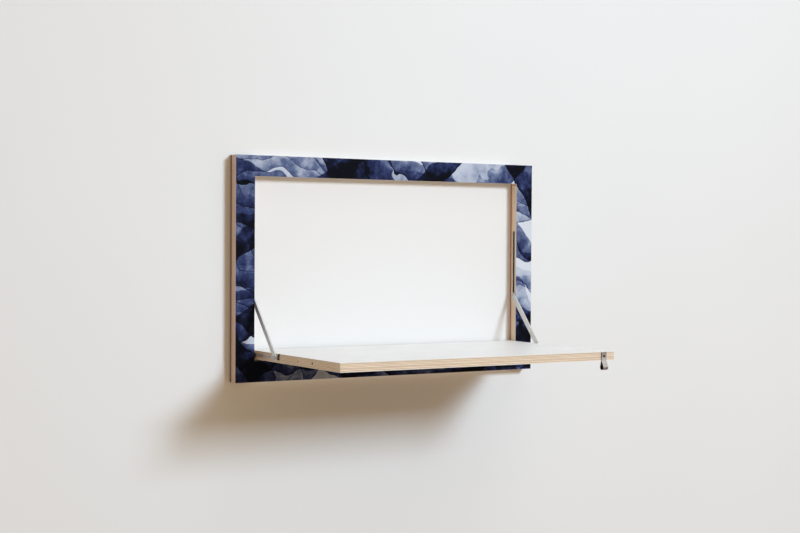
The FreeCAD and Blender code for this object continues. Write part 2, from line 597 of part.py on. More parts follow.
NOTCH_FRONT = along_leaf("(sizes.stay_reach + sizes.groove_tail)")
leaf_core = leaf_layer("leaf_core", leaf_low + number("sizes.sheet_thickness"), "sizes.core_thickness")
for side in SIDES:
    plane = None if side == "left" else LEAF_WIDTH
    into_leaf = side == "left"
    # groove for the hinge arm, open at the hinge edge, with a wider seat round the arm's eye
    groove = sketch_on(leaf_core, "YZ_Plane", plane)
    groove_front = along_leaf(f"(sizes.stay_reach + sizes.groove_tail - {GROOVE_HALF})")
    past_edge = f"({LEAF_LENGTH} + {GROOVE_HALF})"
    add_slot(groove, groove_front, CORE_MIDDLE, past_edge, CORE_MIDDLE, GROOVE_HALF)
    pocket(leaf_core, groove, GROOVE_DEPTH, forward=into_leaf)
    eye_seat = sketch_on(leaf_core, "YZ_Plane", plane)
    eye_half = f"({EYE_RADIUS} + sizes.groove_clearance)"
    past_edge = f"({LEAF_LENGTH} + {eye_half})"
    add_slot(eye_seat, PIVOT_FROM_FRONT, CORE_MIDDLE, past_edge, CORE_MIDDLE, eye_half)
    pocket(leaf_core, eye_seat, GROOVE_DEPTH, forward=into_leaf)
    # notch at the groove's end, open to the desk top
    notch = sketch_on(leaf_core, "YZ_Plane", plane)
    add_rectangle(notch, NOTCH_FRONT, f"({CORE_MIDDLE} - {GROOVE_HALF})", "sizes.notch_length",
                  f"({CORE_MIDDLE} + {GROOVE_HALF})")
    pocket(leaf_core, notch, GROOVE_DEPTH, forward=into_leaf)
    # screw holes for the hinge arm
    arm_holes = sketch_on(leaf_core, "YZ_Plane", plane)
    for share in ARM_SCREW_SHARES:
        add_circle(arm_holes, along_leaf(f"sizes.stay_reach * {share}"), CORE_MIDDLE, SMALL_SCREW_HOLE)
    arm_hole_depth = ("sizes.arm_recess + sizes.small_screw_head_height + sizes.small_screw_length"
                      " + sizes.seat_clearance")
    pocket(leaf_core, arm_holes, arm_hole_depth, forward=into_leaf)
    # relief where the stay's upper rivet comes to rest when the leaf is shut, and a small dowel hole
    relief = sketch_on(leaf_core, "YZ_Plane", plane)
    relief_radius = "sizes.stay_pin_radius + sizes.relief_clearance"
    add_circle(relief, along_leaf(STAY_REST), CORE_MIDDLE, relief_radius)
    pocket(leaf_core, relief, "sizes.relief_depth", forward=into_leaf)
    dowel = sketch_on(leaf_core, "YZ_Plane", plane)
    add_circle(dowel, along_leaf("sizes.dowel_distance"), CORE_MIDDLE, "sizes.dowel_radius")
    pocket(leaf_core, dowel, "sizes.dowel_depth", forward=into_leaf)
PULL_ALONG = f"({LEAF_WIDTH} - sizes.pull_end_distance)"
pull_hole = sketch_on(leaf_core, "XZ_Plane")
add_circle(pull_hole, PULL_ALONG, CORE_MIDDLE, SMALL_SCREW_HOLE)
pocket(leaf_core, pull_hole, "sizes.small_screw_length - 2 * sizes.pull_strip + sizes.seat_clearance")

leaf_layer("leaf_under_sheet", leaf_low, "sizes.sheet_thickness")
core_top = leaf_high - number("sizes.sheet_thickness")
leaf_top_sheet = leaf_layer("leaf_top_sheet", core_top, "sizes.sheet_thickness")
corners = sketch_on(leaf_top_sheet, "XY_Plane")
add_rectangle(corners, "0", NOTCH_FRONT, GROOVE_DEPTH, "sizes.notch_length")
add_rectangle(corners, f"({LEAF_WIDTH} - {GROOVE_DEPTH})", NOTCH_FRONT, GROOVE_DEPTH, "sizes.notch_length")
pocket(leaf_top_sheet, corners, "sizes.sheet_thickness + sizes.overrun", forward=True)

# Hinge arms: steel flats in the grooves, with an eye at the pivot and the stay's pin at the far end
ARM_MIDDLE = EYE_RADIUS
for side, sign in SIDES.items():
    arm_face = sign * (leaf_end - number("sizes.arm_recess"))
    arm_front = pivot_y - number("sizes.stay_reach + sizes.arm_width / 2")
    arm = new_body(f"hinge_arm_{side}", arm_face, arm_front, pivot_z - number(EYE_RADIUS))
    to_left = side == "right"
    pin_along = "(sizes.arm_width / 2)"
    pivot_along = "(sizes.stay_reach + sizes.arm_width / 2)"
    bar = sketch_on(arm, "YZ_Plane")
    add_slot(bar, pin_along, ARM_MIDDLE, pivot_along, ARM_MIDDLE, "sizes.arm_width / 2")
    pad(arm, bar, "sizes.arm_thickness", backward=to_left)
    eye = sketch_on(arm, "YZ_Plane")
    add_circle(eye, pivot_along, ARM_MIDDLE, EYE_RADIUS)
    pad(arm, eye, "sizes.arm_thickness", backward=to_left)
    bores = sketch_on(arm, "YZ_Plane")
    add_circle(bores, pivot_along, ARM_MIDDLE, "sizes.pivot_pin_radius + sizes.seat_clearance")
    add_circle(bores, pin_along, ARM_MIDDLE, "sizes.stay_pin_radius + sizes.seat_clearance")
    shanks = sketch_on(arm, "YZ_Plane")
    heads = sketch_on(arm, "YZ_Plane")
    places = []
    for share in ARM_SCREW_SHARES:
        along = f"({pivot_along} - sizes.stay_reach * {share})"
        add_circle(shanks, along, ARM_MIDDLE, SMALL_SCREW_HOLE)
        add_circle(heads, along, ARM_MIDDLE, SMALL_HEAD_HOLE)
        places.append(FreeCAD.Vector(arm_face, arm_front + number(along), pivot_z))
    through = "sizes.arm_thickness + sizes.overrun"
    pocket(arm, bores, through, forward=not to_left)
    pocket(arm, shanks, through, forward=not to_left)
    pocket(arm, heads, "sizes.small_screw_head_height", forward=not to_left)
    screws(f"hinge_arm_screws_{side}", "small_screw", "sizes.small_screw_length", places, X_AXIS * -sign)

# Pivot pins and stay pins: riveted into the arms; a stay pin's flat head keeps the stay on
for side, sign in SIDES.items():
    outward = X_AXIS * sign
    arm_back = sign * (leaf_end - number(GROOVE_DEPTH))
    cylinder(f"pivot_pin_{side}", "sizes.pivot_pin_radius",
             f"{GROOVE_DEPTH} + {SIDE_GAP} + sizes.pivot_pin_reach",
             FreeCAD.Vector(arm_back, pivot_y, pivot_z), outward)
    pin_y = pivot_y - number("sizes.stay_reach")
    shank = cylinder(f"stay_pin_{side}_shank", "sizes.stay_pin_radius",
                     f"{GROOVE_DEPTH} + {LAYER_CLEARANCE} + sizes.stay_thickness",
                     FreeCAD.Vector(arm_back, pin_y, pivot_z), outward)
    head_x = sign * (stile_face - number(LAYER_CLEARANCE))
    head = cylinder(f"stay_pin_{side}_head", "sizes.rivet_head_radius", "sizes.rivet_head_height",
                    FreeCAD.Vector(head_x, pin_y, pivot_z), outward)
    fused(f"stay_pin_{side}", [shank, head])

# Stays: flat steel bars in the gap beside the leaf, from the leaf's pin up to the foot of the rail
lean = math.atan2(number("sizes.stay_reach"), number("sizes.stay_rise"))
stay_turn = FreeCAD.Rotation(X_AXIS, -math.degrees(lean))
STAY_HALF = "(sizes.stay_width / 2)"
for side, sign in SIDES.items():
    stay_left = sign * stile_face - sign * number(LAYER_CLEARANCE)
    if sign > 0:
        stay_left = stay_left - number("sizes.stay_thickness")
    foot = FreeCAD.Vector(stay_left, pivot_y - number("sizes.stay_reach"), pivot_z)
    foot_centre = FreeCAD.Vector(0, number(STAY_HALF), number(STAY_HALF))
    start = foot - stay_turn.multVec(foot_centre)
    bar = new_body(f"stay_bar_{side}", start.x, start.y, start.z, stay_turn)
    outline = sketch_on(bar, "YZ_Plane")
    head_centre = f"({STAY_HALF} + {STAY_LENGTH})"
    add_slot(outline, STAY_HALF, STAY_HALF, STAY_HALF, head_centre, STAY_HALF)
    add_circle(outline, STAY_HALF, STAY_HALF, "sizes.stay_pin_radius + sizes.running_clearance")
    add_circle(outline, STAY_HALF, head_centre, "sizes.stay_pin_radius + sizes.seat_clearance")
    pad(bar, outline, "sizes.stay_thickness")
    # the upper rivet, flush outside and with a flat head on the leaf's side
    inward = X_AXIS * -sign
    rivet_outer = FreeCAD.Vector(sign * (stile_face - number(LAYER_CLEARANCE)), pivot_y, shoe_middle_z)
    rivet_inner = rivet_outer + inward * number("sizes.stay_thickness")
    rivet = f"stay_rivet_{side}"
    shank = cylinder(rivet + "_shank", "sizes.stay_pin_radius", "sizes.stay_thickness", rivet_outer, inward)
    head_height = "sizes.rivet_head_height"
    head = cylinder(rivet + "_head", "sizes.rivet_head_radius", head_height, rivet_inner, inward)
    fused(rivet, [shank, head])

# Pull loop: a doubled spring-steel strip, screwed to the leaf's front edge, that hangs in a drop shape.
# Sketched forward from the loop's rearmost point, which lies under the leaf, and up from its lowest.
about_face = FreeCAD.Rotation(Z_AXIS, 180)
LOOP_BACK = "(sizes.loop_radius - sizes.loop_lead)"
pull_loop = new_body("pull_loop", pull_x + number("sizes.pull_width / 2"), leaf_front + number(LOOP_BACK),
                     leaf_low - number("sizes.loop_drop"), about_face)
strip = number("sizes.pull_strip")
radius = number("sizes.loop_radius")
plate_back = number(LOOP_BACK)
plate_face = plate_back + 2 * strip
plate_high = number(f"sizes.loop_drop + {PULL_PLATE_HEIGHT}")
knee_high = number("sizes.loop_drop - sizes.loop_straight")
centre = FreeCAD.Vector(radius, radius, 0)


def leg_from(knee, side):
    """Where a leg's outer and inner sides touch the round end, and the angle of that place on the round."""
    reach = knee - centre
    turn = math.atan2(reach.y, reach.x) - side * math.acos(radius / reach.Length)
    normal = FreeCAD.Vector(math.cos(turn), math.sin(turn), 0)
    return centre + normal * radius, centre + normal * (radius - strip), turn


front_knee = FreeCAD.Vector(plate_face, knee_high, 0)
back_knee = FreeCAD.Vector(plate_back, knee_high, 0)
front_touch, front_inner, front_turn = leg_from(front_knee, 1)
back_touch, back_inner, back_turn = leg_from(back_knee, -1)
# the inner sides of the two legs run on until they meet
front_run = front_knee - front_touch
back_run = back_knee - back_touch
between = back_inner - front_inner
apex_share = between.cross(back_run).z / front_run.cross(back_run).z
apex = front_inner + front_run * apex_share
profile = sketch_on(pull_loop, "YZ_Plane")
plate_top = FreeCAD.Vector(plate_back, plate_high, 0)
plate_corner = FreeCAD.Vector(plate_face, plate_high, 0)
TOP, FRONT, LEG, END, BACK_LEG, BACK, INNER_BACK_LEG, INNER_END, INNER_LEG = range(9)
profile.addGeometry(Part.LineSegment(plate_top, plate_corner), False)
profile.addGeometry(Part.LineSegment(plate_corner, front_knee), False)
profile.addGeometry(Part.LineSegment(front_knee, front_touch), False)
round_end = Part.Circle(centre, Z_AXIS, radius)
profile.addGeometry(Part.ArcOfCircle(round_end, back_turn, 2 * math.pi + front_turn), False)
profile.addGeometry(Part.LineSegment(back_touch, back_knee), False)
profile.addGeometry(Part.LineSegment(back_knee, plate_top), False)
profile.addGeometry(Part.LineSegment(apex, back_inner), False)
inner_round = Part.Circle(centre, Z_AXIS, radius - strip)
profile.addGeometry(Part.ArcOfCircle(inner_round, back_turn, 2 * math.pi + front_turn), False)
profile.addGeometry(Part.LineSegment(front_inner, apex), False)
START, FINISH, MIDDLE = range(1, 4)
TIES = [
    ("Coincident", TOP, FINISH, FRONT, START),
    ("Coincident", FRONT, FINISH, LEG, START),
    ("Tangent", LEG, FINISH, END, FINISH),
    ("Tangent", END, START, BACK_LEG, START),
    ("Coincident", BACK_LEG, FINISH, BACK, START),
    ("Coincident", BACK, FINISH, TOP, START),
    ("Tangent", INNER_BACK_LEG, FINISH, INNER_END, START),
    ("Tangent", INNER_END, FINISH, INNER_LEG, START),
    ("Coincident", INNER_LEG, FINISH, INNER_BACK_LEG, START),
    ("Coincident", END, MIDDLE, INNER_END, MIDDLE),
    ("Parallel", LEG, INNER_LEG),
    ("Parallel", BACK_LEG, INNER_BACK_LEG),
    ("Horizontal", TOP),
    ("Vertical", FRONT),
    ("Vertical", BACK),
    ("Equal", FRONT, BACK),
]
for tie in TIES:
    profile.addConstraint(Sketcher.Constraint(*tie))
dimension(profile, "DistanceX", (-1, 1, TOP, START), LOOP_BACK)
dimension(profile, "DistanceY", (-1, 1, TOP, START), f"sizes.loop_drop + {PULL_PLATE_HEIGHT}")
dimension(profile, "DistanceX", (TOP, START, TOP, FINISH), "2 * sizes.pull_strip")
dimension(profile, "DistanceY", (FRONT, FINISH, FRONT, START), f"{PULL_PLATE_HEIGHT} + sizes.loop_straight")
dimension(profile, "Radius", (END,), "sizes.loop_radius")
dimension(profile, "Radius", (INNER_END,), "sizes.loop_radius - sizes.pull_strip")
dimension(profile, "DistanceX", (-1, 1, END, MIDDLE), "sizes.loop_radius")
dimension(profile, "DistanceY", (-1, 1, END, MIDDLE), "sizes.loop_radius")
pad(pull_loop, profile, "sizes.pull_width")
plate_hole = sketch_on(pull_loop, "XZ_Plane")
add_circle(plate_hole, "sizes.pull_width / 2", f"(sizes.loop_drop + {HALF_BOARD})", SMALL_SCREW_HOLE)
pocket(pull_loop, plate_hole, f"{LOOP_BACK} + 2 * sizes.pull_strip + sizes.overrun")
pull_head = leaf_front - 2 * strip - number("sizes.small_screw_head_height")
screws("pull_loop_screw", "small_screw", "sizes.small_screw_length",
       [FreeCAD.Vector(pull_x, pull_head, pivot_z)], Y_AXIS)

# Every object has to be sound before a piece is written
PAIRS = ("side_batten", "hanger_plate", "guide_rail", "guide_rail_screws", "pivot_bush", "hinge_arm",
         "hinge_arm_screws", "pivot_pin", "stay_pin", "stay_bar", "stay_rivet", "slide_shoe", "slide_pin")
PIECES = ["frame_core", "frame_front_sheet", "frame_back_sheet", "top_batten", "bottom_batten",
          "back_panel", "batten_screws", "hanger_screws", "catch_magnet", "leaf_core", "leaf_top_sheet",
          "leaf_under_sheet", "pull_loop", "pull_loop_screw"]
PIECES += [f"{pair}_{side}" for pair in PAIRS for side in SIDES]
doc.recompute()
for item in doc.Objects:
    if "Invalid" in item.State or "Error" in item.State:
        raise RuntimeError(f"{item.Label} failed: {item.State}")
os.makedirs("parts", exist_ok=True)
for label in PIECES:
    shape = doc.getObjectsByLabel(label)[0].Shape
    if shape.isNull() or not shape.isValid():
        raise RuntimeError(f"{label} has no sound shape")
    shape.exportStep(f"parts/{label}.step")
    print(f"{label}: {len(shape.Solids)} solid(s), {shape.Volume:.1f} mm3")
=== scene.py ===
import json
import math

import bpy
from mathutils import Color, Euler, Matrix, Vector


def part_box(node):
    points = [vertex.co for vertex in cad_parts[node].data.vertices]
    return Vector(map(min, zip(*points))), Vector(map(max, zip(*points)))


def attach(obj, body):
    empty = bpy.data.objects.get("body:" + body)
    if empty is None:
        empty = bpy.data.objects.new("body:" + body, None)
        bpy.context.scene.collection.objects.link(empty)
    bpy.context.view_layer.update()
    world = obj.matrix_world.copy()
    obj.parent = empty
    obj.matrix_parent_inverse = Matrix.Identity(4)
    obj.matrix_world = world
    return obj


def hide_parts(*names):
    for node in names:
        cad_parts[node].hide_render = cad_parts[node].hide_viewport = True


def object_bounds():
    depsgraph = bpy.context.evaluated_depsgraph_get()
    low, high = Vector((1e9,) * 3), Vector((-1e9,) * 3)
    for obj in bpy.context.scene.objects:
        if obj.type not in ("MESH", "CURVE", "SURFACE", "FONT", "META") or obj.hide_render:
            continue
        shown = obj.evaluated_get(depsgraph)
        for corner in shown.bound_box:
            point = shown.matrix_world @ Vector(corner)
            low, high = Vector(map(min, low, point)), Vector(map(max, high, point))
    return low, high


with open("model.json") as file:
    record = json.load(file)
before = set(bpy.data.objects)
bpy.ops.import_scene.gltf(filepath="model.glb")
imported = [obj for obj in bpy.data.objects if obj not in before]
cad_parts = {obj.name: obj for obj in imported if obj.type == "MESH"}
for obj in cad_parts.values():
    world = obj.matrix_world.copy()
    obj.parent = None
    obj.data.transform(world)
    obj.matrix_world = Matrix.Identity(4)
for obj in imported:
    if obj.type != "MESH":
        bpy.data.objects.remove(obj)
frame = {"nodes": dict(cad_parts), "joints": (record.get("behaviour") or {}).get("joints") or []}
cad_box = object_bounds()
bpy.ops.object.select_all(action="DESELECT")


# Frame core: one 18 mm birch board, thirteen veneers glued crosswise, with the leaf's opening routed out.
# Its sawn edges stay bare and lightly oiled, so the veneers show as thin streaks all round the frame.
VENEER_COUNT = 13
VENEER_STREAK_LENGTH = 0.11
VENEER_STREAK_WIDTH = 0.0011
VENEER_TONES = (0.8, 1.1)
GLUE_LINE_SHARE = 0.06
GLUE_STRENGTH = 0.6
BIRCH_LONG_GRAIN = ((225, 206, 182), (250, 235, 216))
BIRCH_END_GRAIN = ((198, 171, 143), (228, 204, 178))
BIRCH_GLUE = (158, 132, 106)
BIRCH_ROUGHNESS = 0.62
BIRCH_GLOSS = 0.3
BIRCH_GRAIN_DEPTH = 0.00015
PATCH_SCALE = 14.0
PATCH_TONES = (0.93, 1.06)
END_TINT = (0.9, 0.9, 0.9)
# painted shade: the frame's upright edges are darkened and warmed to stand in for the warm shade that falls
# on them
UPRIGHT_PAINTED_SHADE = (0.81, 0.735, 0.765)
# painted light: the stiles' inner edges are lightened to stand in for the light the white panel throws on
# them
STILE_PAINTED_LIGHT = 1.18
STILE_DEPTH = 0.01
NOISE_MIDDLE = (0.3, 0.7)
FACING_LIMIT = 0.7
nodes = frame["nodes"]


def swatch(red, green, blue):
    """The shader's linear colour of a paint swatch read in ordinary 0 to 255 values."""
    shade = Color((red / 255, green / 255, blue / 255)).from_srgb_to_scene_linear()
    return (shade.r, shade.g, shade.b, 1.0)


def new_finish(name):
    """A node material, its tree and its Principled shader."""
    finish = bpy.data.materials.new(name)
    finish.use_nodes = True
    return finish, finish.node_tree, finish.node_tree.nodes["Principled BSDF"]


def add_node(tree, kind, inputs=None, **settings):
    """A shader node; each input is a plain value or another node's output socket."""
    node = tree.nodes.new("ShaderNode" + kind)
    for setting, value in settings.items():
        setattr(node, setting, value)
    for socket, value in (inputs or {}).items():
        if isinstance(value, bpy.types.NodeSocket):
            tree.links.new(value, node.inputs[socket])
        else:
            node.inputs[socket].default_value = value
    return node


def calc(tree, operation, *values):
    """The output of a Math node."""
    return add_node(tree, "Math", dict(enumerate(values)), operation=operation).outputs[0]


def spread(tree, factor, ends, span=(0.0, 1.0)):
    """A factor within a span, carried over to a range between two ends."""
    inputs = {"Value": factor, "From Min": span[0], "From Max": span[1], "To Min": ends[0], "To Max": ends[1]}
    return add_node(tree, "MapRange", inputs).outputs[0]


def ramp(tree, factor, stops):
    """A colour ramp's output; each stop is a position and a linear colour."""
    node = add_node(tree, "ValToRGB", {"Fac": factor})
    elements = node.color_ramp.elements
    for position, shade in stops[2:]:
        elements.new(position)
    for element, (position, shade) in zip(elements, stops):
        element.position = position
        element.color = shade
    return node.outputs["Color"]


def mottled(tree, factor, shades):
    """A colour that goes from a darker to a lighter swatch over the middle of a noise."""
    return ramp(tree, factor, [(position, swatch(*shade)) for position, shade in zip(NOISE_MIDDLE, shades)])


def mixed(tree, factor, first, second, blend="MIX"):
    """A colour between two, or one laid on the other."""
    node = add_node(tree, "Mix", {0: factor, 6: first, 7: second}, data_type="RGBA", blend_type=blend)
    return node.outputs[2]


def dimmed(tree, colour, share):
    """A colour made darker or lighter by a share, which is a socket."""
    grey = add_node(tree, "CombineColor", {0: share, 1: share, 2: share}).outputs[0]
    return mixed(tree, 1.0, colour, grey, "MULTIPLY")


def moved(tree, vector, turn=0.0, shift=(0, 0, 0), scale=(1, 1, 1)):
    """Coordinates scaled, turned about X and shifted."""
    inputs = {"Vector": vector, "Rotation": (turn, 0, 0), "Location": shift, "Scale": scale}
    return add_node(tree, "Mapping", inputs).outputs[0]


def noise(tree, vector, scale=1.0, detail=2.0, roughness=0.5):
    """A soft noise between 0 and 1."""
    inputs = {"Vector": vector, "Scale": scale, "Detail": detail, "Roughness": roughness}
    return add_node(tree, "TexNoise", inputs).outputs["Fac"]


def facing(tree, normal, axis):
    """1 on the faces that look along an axis, either way, and 0 on the others."""
    split = add_node(tree, "SeparateXYZ", {"Vector": normal})
    return calc(tree, "GREATER_THAN", calc(tree, "ABSOLUTE", split.outputs[axis]), FACING_LIMIT)


def bump(tree, shader, height, depth):
    """A fine relief on the shader's normal, as deep as given in metres."""
    relief = add_node(tree, "Bump", {"Height": height, "Distance": depth, "Strength": 1.0})
    tree.links.new(relief.outputs["Normal"], shader.inputs["Normal"])


def plywood(name, stack_from, thickness, turn=0.0, shift=(0, 0, 0), routed=None, painted_share=1.0,
            end_tint=END_TINT):
    """Birch plywood whose veneers are stacked along Y from stack_from, once turned and shifted.

    What lies within routed, a half width, middle and half height in the board's X and Z, has its colour
    multiplied
    by a share: painted light on the frame's inner stile edges, painted shade in the leaf's grooves and holes.
    """
    finish, tree, shader = new_finish(name)
    coords = add_node(tree, "TexCoord")
    place = moved(tree, coords.outputs["Object"], turn, shift)
    split = add_node(tree, "SeparateXYZ", {"Vector": place})
    stacked = calc(tree, "SUBTRACT", split.outputs["Y"], stack_from)
    height = calc(tree, "DIVIDE", stacked, thickness / VENEER_COUNT)
    index = calc(tree, "FLOOR", height)
    crossed = calc(tree, "FLOORED_MODULO", index, 2.0)
    # each veneer's streaks run along X or along Z, so an edge cuts every other veneer across its grain
    long_scale = 1 / VENEER_STREAK_LENGTH
    fine_scale = 1 / VENEER_STREAK_WIDTH
    along_x = moved(tree, place, scale=(long_scale, fine_scale, fine_scale))
    along_z = moved(tree, place, scale=(fine_scale, fine_scale, long_scale))
    grain_x = noise(tree, along_x, detail=3.0, roughness=0.6)
    grain_z = noise(tree, along_z, detail=3.0, roughness=0.6)
    grain = add_node(tree, "Mix", {0: crossed, 2: grain_x, 3: grain_z}, data_type="FLOAT").outputs[0]
    end_face = facing(tree, coords.outputs["Normal"], "X")
    cut_across = calc(tree, "ABSOLUTE", calc(tree, "SUBTRACT", crossed, end_face))
    long_grain = mottled(tree, grain, BIRCH_LONG_GRAIN)
    end_grain = mottled(tree, grain, BIRCH_END_GRAIN)
    wood = mixed(tree, cut_across, long_grain, end_grain)
    # no two veneers have the same tone, and the board is a little browner in places
    tone = add_node(tree, "TexWhiteNoise", {"W": index}, noise_dimensions="1D").outputs["Value"]
    wood = dimmed(tree, wood, spread(tree, tone, VENEER_TONES))
    wood = dimmed(tree, wood, spread(tree, noise(tree, place, PATCH_SCALE), PATCH_TONES))
    glue = calc(tree, "LESS_THAN", calc(tree, "FRACT", height), GLUE_LINE_SHARE)
    wood = mixed(tree, calc(tree, "MULTIPLY", glue, GLUE_STRENGTH), wood, swatch(*BIRCH_GLUE))
    # the ends of a board drink more oil than its long edges, and on the frame a painted warm shade darkens
    # its upright edges further
    edges = mixed(tree, end_face, wood, (*end_tint, 1.0), "MULTIPLY")
    # within the routed box the colour is multiplied by a share, which paints light or shade there
    if routed:
        half_width, middle, half_height = routed
        across = calc(tree, "LESS_THAN", calc(tree, "ABSOLUTE", split.outputs["X"]), half_width)
        from_middle = calc(tree, "SUBTRACT", split.outputs["Z"], middle)
        along = calc(tree, "LESS_THAN", calc(tree, "ABSOLUTE", from_middle), half_height)
        cut = mixed(tree, 1.0, wood, (painted_share, painted_share, painted_share, 1.0), "MULTIPLY")
        edges = mixed(tree, calc(tree, "MULTIPLY", across, along), edges, cut)
    tree.links.new(edges, shader.inputs["Base Color"])
    shader.inputs["Roughness"].default_value = BIRCH_ROUGHNESS
    shader.inputs["Specular IOR Level"].default_value = BIRCH_GLOSS
    bump(tree, shader, grain, BIRCH_GRAIN_DEPTH)
    return finish


def finished_with(finish, *names):
    """Gives CAD nodes a finish in place of the plain one they came with."""
    for name in names:
        nodes[name].data.materials.clear()
        nodes[name].data.materials.append(finish)


core_low, core_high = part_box("frame_core")
core_thickness = core_high.y - core_low.y
core_middle = (core_low.z + core_high.z) / 2
leaf_low, leaf_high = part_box("leaf_core")
leaf_half = (leaf_high.y - leaf_low.y) / 2
# painted light on the stiles' inner edges, within the opening's height
stile_edges = (leaf_high.x + STILE_DEPTH, core_middle, leaf_half)
frame_birch = plywood("birch_frame_edge", core_low.y, core_thickness, routed=stile_edges,
                      painted_share=STILE_PAINTED_LIGHT, end_tint=UPRIGHT_PAINTED_SHADE)
finished_with(frame_birch, "frame_core")


# Printed sheet: the decorative laminate on the frame's face, with a generic design of ink washes that cross
# in waves, from indigo to slate. Only its face is printed: its 0.8 mm edge shows the white paper inside.
# Each wash has a direction, the length of its bands and its depth of ink.
WASHES = (
    ((0.45, 0.0, 0.89), 0.04, 0.7),
    ((-0.55, 0.0, 0.83), 0.05, 0.7),
    ((0.8, 0.0, 0.6), 0.066, 0.8),
    ((0.1, 0.0, 0.99), 0.027, 0.4),
)
SWAY_SCALE = 7.5
SWAY_MIDDLE = (0.5, 0.5, 0.5)
WASH_SWAY = 0.12
CLEAR_SHARE = 0.46
FAR_SHARE = 0.55
RIM_SHARE = 0.05
RIM_DEPTH = 0.7
PRINT_SEED = 20
INK_TONES = (
    (0.0, (212, 217, 228)),
    (0.12, (180, 189, 208)),
    (0.26, (100, 113, 148)),
    (0.4, (55, 65, 106)),
    (0.56, (34, 42, 80)),
    (0.74, (18, 22, 46)),
    (0.95, (6, 7, 17)),
)
MOTTLE_SCALE = 36.0
MOTTLE_SPAN = (0.25, 0.75)
MOTTLE_TONES = (0.4, 1.7)
SHEEN_SCALE = 900.0
SHEEN_DEPTH = 0.00003
PRINT_ROUGHNESS = (0.46, 0.6)
PRINT_GLOSS = 0.04
PAPER_EDGE = (240, 234, 225)


def ink_print(name, turn=0.0, shift=(0, 0, 0)):
    """Ink washes on the board's face, in the board's own X and Z once turned and shifted."""
    finish, tree, shader = new_finish(name)
    coords = add_node(tree, "TexCoord")
    place = moved(tree, coords.outputs["Object"], turn, shift)
    face = moved(tree, place, scale=(1, 0, 1))
    inputs = {"Vector": face, "Scale": SWAY_SCALE, "Detail": 3.0, "Roughness": 0.45}
    sway = add_node(tree, "TexNoise", inputs).outputs["Color"]
    sway = add_node(tree, "VectorMath", {0: sway, 1: SWAY_MIDDLE}, operation="SUBTRACT").outputs[0]
    sway = add_node(tree, "VectorMath", {0: sway, "Scale": WASH_SWAY}, operation="SCALE").outputs[0]
    swayed = add_node(tree, "VectorMath", {0: face, 1: sway}, operation="ADD").outputs[0]
    # each wash is a row of bands: some are left clear, the rest fade from a dark rim to their far side
    density = 0.0
    for row, (direction, length, depth) in enumerate(WASHES):
        along = add_node(tree, "VectorMath", {0: swayed, 1: direction}, operation="DOT_PRODUCT")
        count = calc(tree, "DIVIDE", along.outputs["Value"], length)
        inputs = {"X": calc(tree, "FLOOR", count), "Y": float(PRINT_SEED + row)}
        band = add_node(tree, "CombineXYZ", inputs).outputs[0]
        chance = add_node(tree, "TexWhiteNoise", {"Vector": band}).outputs["Value"]
        strength = spread(tree, chance, (0.0, depth), (CLEAR_SHARE, 1.0))
        rise = calc(tree, "FRACT", count)
        fade = spread(tree, rise, (1.0, FAR_SHARE))
        rim = calc(tree, "MULTIPLY", calc(tree, "LESS_THAN", rise, RIM_SHARE), RIM_DEPTH)
        wash = calc(tree, "MULTIPLY", strength, calc(tree, "ADD", fade, rim))
        density = calc(tree, "ADD", density, wash)
    mottle = noise(tree, face, MOTTLE_SCALE, detail=6.0, roughness=0.66)
    mottle = spread(tree, mottle, MOTTLE_TONES, MOTTLE_SPAN)
    tones = [(position, swatch(*shade)) for position, shade in INK_TONES]
    ink = ramp(tree, calc(tree, "MULTIPLY", density, mottle), tones)
    printed = facing(tree, moved(tree, coords.outputs["Normal"], turn), "Y")
    ink = mixed(tree, printed, swatch(*PAPER_EDGE), ink)
    tree.links.new(ink, shader.inputs["Base Color"])
    sheen = noise(tree, face, SHEEN_SCALE)
    tree.links.new(spread(tree, sheen, PRINT_ROUGHNESS), shader.inputs["Roughness"])
    shader.inputs["Specular IOR Level"].default_value = PRINT_GLOSS
    bump(tree, shader, sheen, SHEEN_DEPTH)
    return finish


finished_with(ink_print("indigo_wave_print"), "frame_front_sheet")


# White laminate: the plain sheet on the frame's back and on the desk top. Melamine on paper, satin, with
# the faint orange peel of the press plate.
MELAMINE = ((240, 240, 239), (245, 245, 244))
MELAMINE_CLOUD_SCALE = 11.0
MELAMINE_PEEL_SCALE = 1300.0
MELAMINE_PEEL_DEPTH = 0.00003
MELAMINE_ROUGHNESS = (0.36, 0.46)


def pressed_plastic(name, shades, cloud_scale, peel_scale, peel_depth, roughness):
    """Plastic with a faint cloud of tone and the fine relief of the plate or mould that shaped it."""
    finish, tree, shader = new_finish(name)
    coords = add_node(tree, "TexCoord")
    cloud = noise(tree, coords.outputs["Object"], cloud_scale, detail=3.0)
    tree.links.new(mottled(tree, cloud, shades), shader.inputs["Base Color"])
    peel = noise(tree, coords.outputs["Object"], peel_scale)
    tree.links.new(spread(tree, peel, roughness), shader.inputs["Roughness"])
    bump(tree, shader, peel, peel_depth)
    return finish


desk_white = pressed_plastic("white_melamine", MELAMINE, MELAMINE_CLOUD_SCALE, MELAMINE_PEEL_SCALE,
                             MELAMINE_PEEL_DEPTH, MELAMINE_ROUGHNESS)
finished_with(desk_white, "frame_back_sheet")


# Battens: two 9 mm birch strips glued and screwed behind the rails, which stand the frame off the wall.
# Keyhole plates are let into the upper one; all their screws are zinc plated.
ZINC = ((150, 152, 154), (186, 188, 190))
ZINC_ROUGHNESS = 0.38
WEAR_SCALE = 160.0
POLISH = 0.06
DULLING = 0.08
GRIT_SCALE = 2400.0
GRIT_DEPTH = 0.00002


